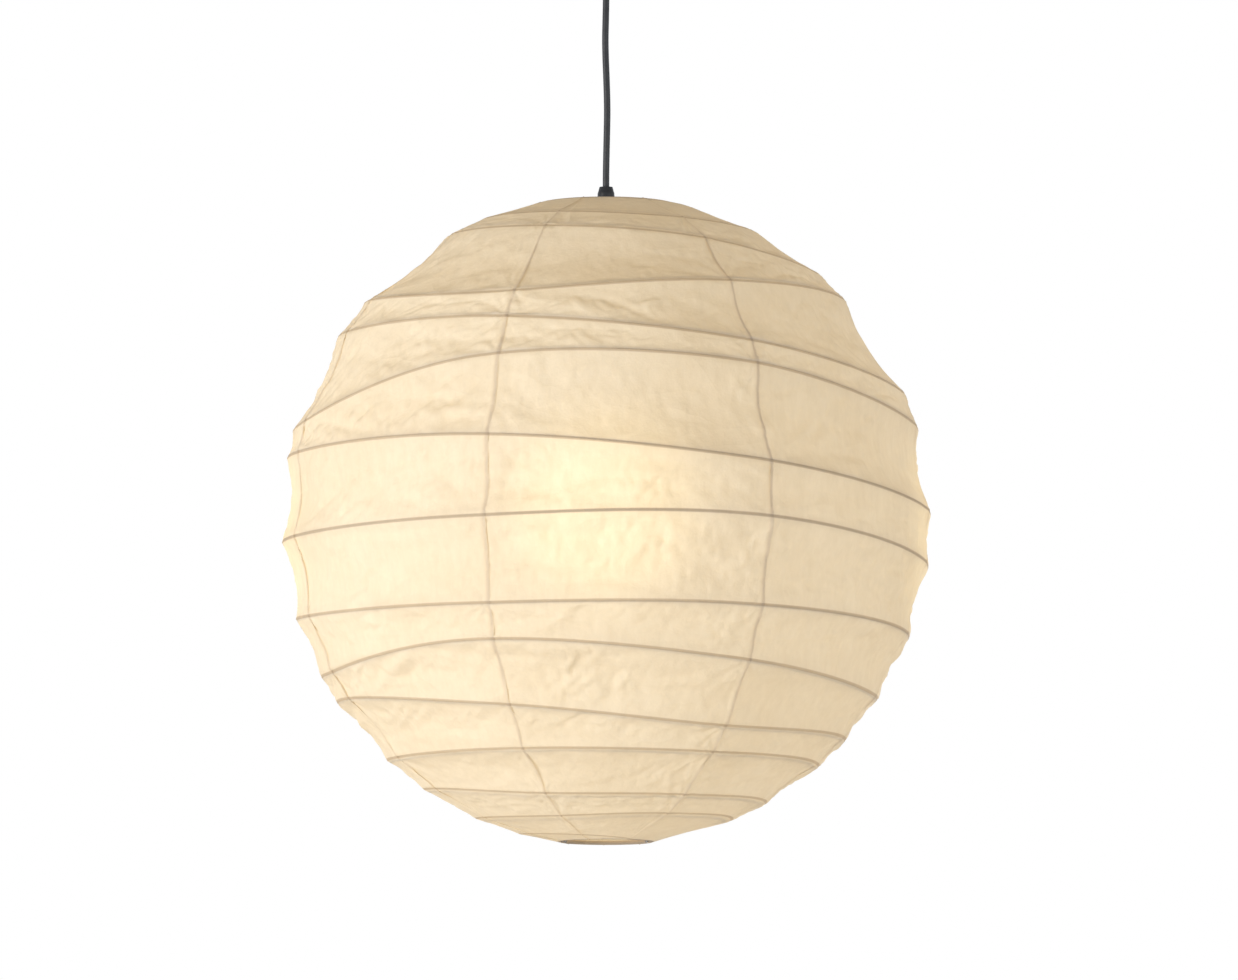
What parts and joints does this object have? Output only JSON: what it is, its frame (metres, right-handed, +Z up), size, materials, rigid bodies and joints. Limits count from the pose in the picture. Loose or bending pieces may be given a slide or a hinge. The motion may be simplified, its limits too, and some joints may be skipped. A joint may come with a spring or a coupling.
{
  "type": "paper pendant lantern",
  "caption": "Round paper pendant lantern with an irregular spiral bamboo rib, a sprung wire stretcher frame, a lampholder and bulb inside, hung by a black cord from a ceiling cup.",
  "frame": {"origin": "centre of the ceiling bracket's top face, which lies on the ceiling", "axes": "+Z up, into the ceiling; the lantern hangs below along -Z; -Y is the front; the frame's two legs stand to the left and right, at -X and +X"},
  "size_m": [0.5496, 0.5482, 0.7748],
  "materials": {
    "black_plastic": "satin moulded black plastic",
    "zinc_steel": "zinc plated pressed steel",
    "ceramic_white": "unglazed white steatite",
    "cord_jacket": "smooth black cord jacket",
    "frame_wire": "bright drawn spring wire",
    "contact_brass": "plain brass",
    "opal_glass": "opal glass, lit warm white",
    "bulb_metal": "bright threaded cap",
    "bound_wire": "wire bound in brown paper",
    "washi_paper": "matt cream mulberry paper, translucent and creased",
    "split_bamboo": "split bamboo strip"
  },
  "bodies": {
    "ceiling_fitting": {"ceiling_bracket": "zinc_steel", "ceiling_cup": "black_plastic", "cup_screw_left": "zinc_steel", "cup_screw_right": "zinc_steel", "terminal_block": "ceramic_white", "outlet_grip": "black_plastic", "outlet_nut": "black_plastic", "cord_tail": "cord_jacket"},
    "cord": {"suspension_cord": "cord_jacket"},
    "grip": {"grip_cap": "black_plastic"},
    "lantern": {"grip_bush": "black_plastic", "grip_nut": "black_plastic", "bridge_plate": "frame_wire", "frame_arm_left": "frame_wire", "frame_arm_right": "frame_wire", "frame_leg_left": "frame_wire", "frame_leg_right": "frame_wire", "holder_loop": "frame_wire", "inner_cord": "cord_jacket", "core_live": "cord_jacket", "core_neutral": "cord_jacket", "holder_nipple": "black_plastic", "holder_dome": "black_plastic", "holder_skirt": "black_plastic", "contact_carrier": "ceramic_white", "screw_shell": "contact_brass", "centre_contact": "contact_brass", "terminal_screw_live": "contact_brass", "terminal_screw_neutral": "contact_brass", "top_ring": "bound_wire", "paper_gore_1": "washi_paper", "paper_gore_2": "washi_paper", "paper_gore_3": "washi_paper", "paper_gore_4": "washi_paper", "paper_gore_5": "washi_paper", "paper_gore_6": "washi_paper", "paper_gore_7": "washi_paper", "rib_strip_01": "split_bamboo", "rib_strip_02": "split_bamboo", "rib_strip_03": "split_bamboo", "rib_strip_04": "split_bamboo", "rib_strip_05": "split_bamboo", "rib_strip_06": "split_bamboo", "rib_strip_07": "split_bamboo", "rib_strip_08": "split_bamboo", "rib_strip_09": "split_bamboo", "rib_strip_10": "split_bamboo", "rib_strip_11": "split_bamboo", "rib_strip_12": "split_bamboo", "rib_strip_13": "split_bamboo"},
    "lower_ring": {"bottom_ring": "bound_wire"},
    "clamp_ring": {"shade_ring": "black_plastic"},
    "bulb": {"bulb_glass": "opal_glass", "bulb_cap": "bulb_metal", "bulb_insulator": "ceramic_white", "bulb_contact": "contact_brass"}
  },
  "joints": [
    {"name": "cord_swing", "type": "hinge", "parent": "ceiling_fitting", "child": "cord", "pos_m": [0, 0, -0.044], "axis": [0, 1, 0], "range_deg": [-12, 12]},
    {"name": "lantern_tilt", "type": "hinge", "parent": "cord", "child": "grip", "pos_m": [0, 0, -0.22], "axis": [1, 0, 0], "range_deg": [-12, 12]},
    {"name": "lantern_turn", "type": "hinge", "parent": "grip", "child": "lantern", "pos_m": [0, 0, -0.236], "axis": [0, 0, 1], "range_deg": [-90, 90]},
    {"name": "shade_fold", "type": "slide", "parent": "lantern", "child": "lower_ring", "axis": [0, 0, 1], "range_m": [0, 0.4923], "deforming": ["paper_gore_1", "paper_gore_2", "paper_gore_3", "paper_gore_4", "paper_gore_5", "paper_gore_6", "paper_gore_7", "rib_strip_01", "rib_strip_02", "rib_strip_03", "rib_strip_04", "rib_strip_05", "rib_strip_06", "rib_strip_07", "rib_strip_08", "rib_strip_09", "rib_strip_10", "rib_strip_11", "rib_strip_12", "rib_strip_13"]},
    {"name": "bulb_unscrew", "type": "slide", "parent": "lantern", "child": "bulb", "axis": [0, 0, -1], "range_m": [0, 0.03]},
    {"name": "clamp_ring_unscrew", "type": "slide", "parent": "lantern", "child": "clamp_ring", "axis": [0, 0, -1], "range_m": [0, 0.016]}
  ]
}
